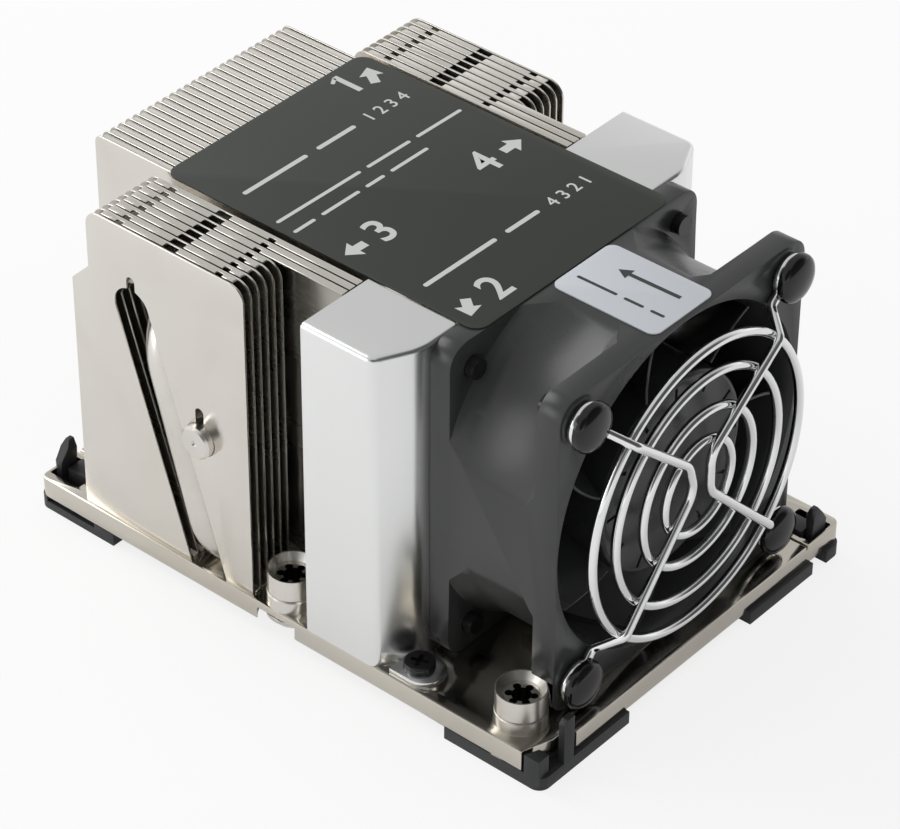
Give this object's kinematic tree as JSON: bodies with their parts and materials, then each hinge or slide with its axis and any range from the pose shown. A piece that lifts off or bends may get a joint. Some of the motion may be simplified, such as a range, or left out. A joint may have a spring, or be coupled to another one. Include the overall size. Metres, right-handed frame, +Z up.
{
  "type": "server processor heatsink with fan",
  "caption": "Tall server processor cooler: folded fins and heat pipes on a flat plate, an axial fan with a wire guard in bent sheet brackets, captive nuts and a carrier clip.",
  "frame": {"origin": "centre of the flat processor contact face on the underside of the base plate", "axes": "+X across the plate, +Y from the fan towards the back of the fins, +Z up through the fins"},
  "size_m": [0.0798, 0.1097, 0.0665],
  "materials": {
    "plate_metal": "bright nickel plated plate, machined flat",
    "fin_metal": "nickel plated thin sheet, satin",
    "pipe_metal": "nickel plated tube, bright",
    "bracket_metal": "bent sheet, lightly brushed and bright",
    "black_screw": "black oxide steel, slightly glossy",
    "fan_plastic": "charcoal moulded plastic, satin",
    "rotor_plastic": "black moulded plastic, satin",
    "plain_steel": "plain steel",
    "magnet": "dark ferrite",
    "core_steel": "stacked laminations",
    "copper_wire": "enamelled copper wire",
    "board": "circuit board",
    "guard_wire": "bright chromed wire",
    "rivet_plastic": "black glossy plastic",
    "nut_steel": "nickel plated turned steel",
    "dark_label": "dark olive grey label with pale marks",
    "white_label": "white label with dark marks",
    "clip_plastic": "black moulded plastic"
  },
  "bodies": {
    "heatsink": {"base_plate": "plate_metal", "tall_heat_pipe": "pipe_metal", "low_heat_pipe": "pipe_metal", "centre_fins": "fin_metal", "left_side_fins": "fin_metal", "right_side_fins": "fin_metal", "left_duct_bracket": "bracket_metal", "right_duct_bracket": "bracket_metal", "bracket_screws": "black_screw", "fan_mount_screws": "black_screw", "fan_frame": "fan_plastic", "front_bearing": "plain_steel", "rear_bearing": "plain_steel", "stator_core": "core_steel", "stator_windings": "copper_wire", "fan_circuit_board": "board", "fan_guard": "guard_wire", "guard_rivets": "rivet_plastic", "top_label": "dark_label", "airflow_label": "white_label", "carrier_clip": "clip_plastic", "preload_washer": "plain_steel"},
    "rotor": {"fan_rotor": "rotor_plastic", "rotor_yoke": "plain_steel", "rotor_magnet": "magnet", "rotor_shaft": "plain_steel", "shaft_clip": "plain_steel"},
    "nut_1": {"captive_nut_1": "nut_steel", "nut_ring_1": "plain_steel"},
    "nut_2": {"captive_nut_2": "nut_steel", "nut_ring_2": "plain_steel"},
    "nut_3": {"captive_nut_3": "nut_steel", "nut_ring_3": "plain_steel"},
    "nut_4": {"captive_nut_4": "nut_steel", "nut_ring_4": "plain_steel"}
  },
  "joints": [
    {"name": "rotor_spin", "type": "hinge", "parent": "heatsink", "child": "rotor", "pos_m": [0, -0.0367, 0.034], "axis": [0, 1, 0], "continuous": true},
    {"name": "nut_1_turn", "type": "hinge", "parent": "heatsink", "child": "nut_1", "pos_m": [0.033, 0.0455, 0.004], "axis": [0, 0, 1], "continuous": true},
    {"name": "nut_2_turn", "type": "hinge", "parent": "heatsink", "child": "nut_2", "pos_m": [-0.033, -0.0455, 0.004], "axis": [0, 0, 1], "continuous": true},
    {"name": "nut_3_turn", "type": "hinge", "parent": "heatsink", "child": "nut_3", "pos_m": [-0.0347, 0.0006, 0.004], "axis": [0, 0, 1], "continuous": true},
    {"name": "nut_4_turn", "type": "hinge", "parent": "heatsink", "child": "nut_4", "pos_m": [0.0347, -0.0006, 0.004], "axis": [0, 0, 1], "continuous": true}
  ]
}
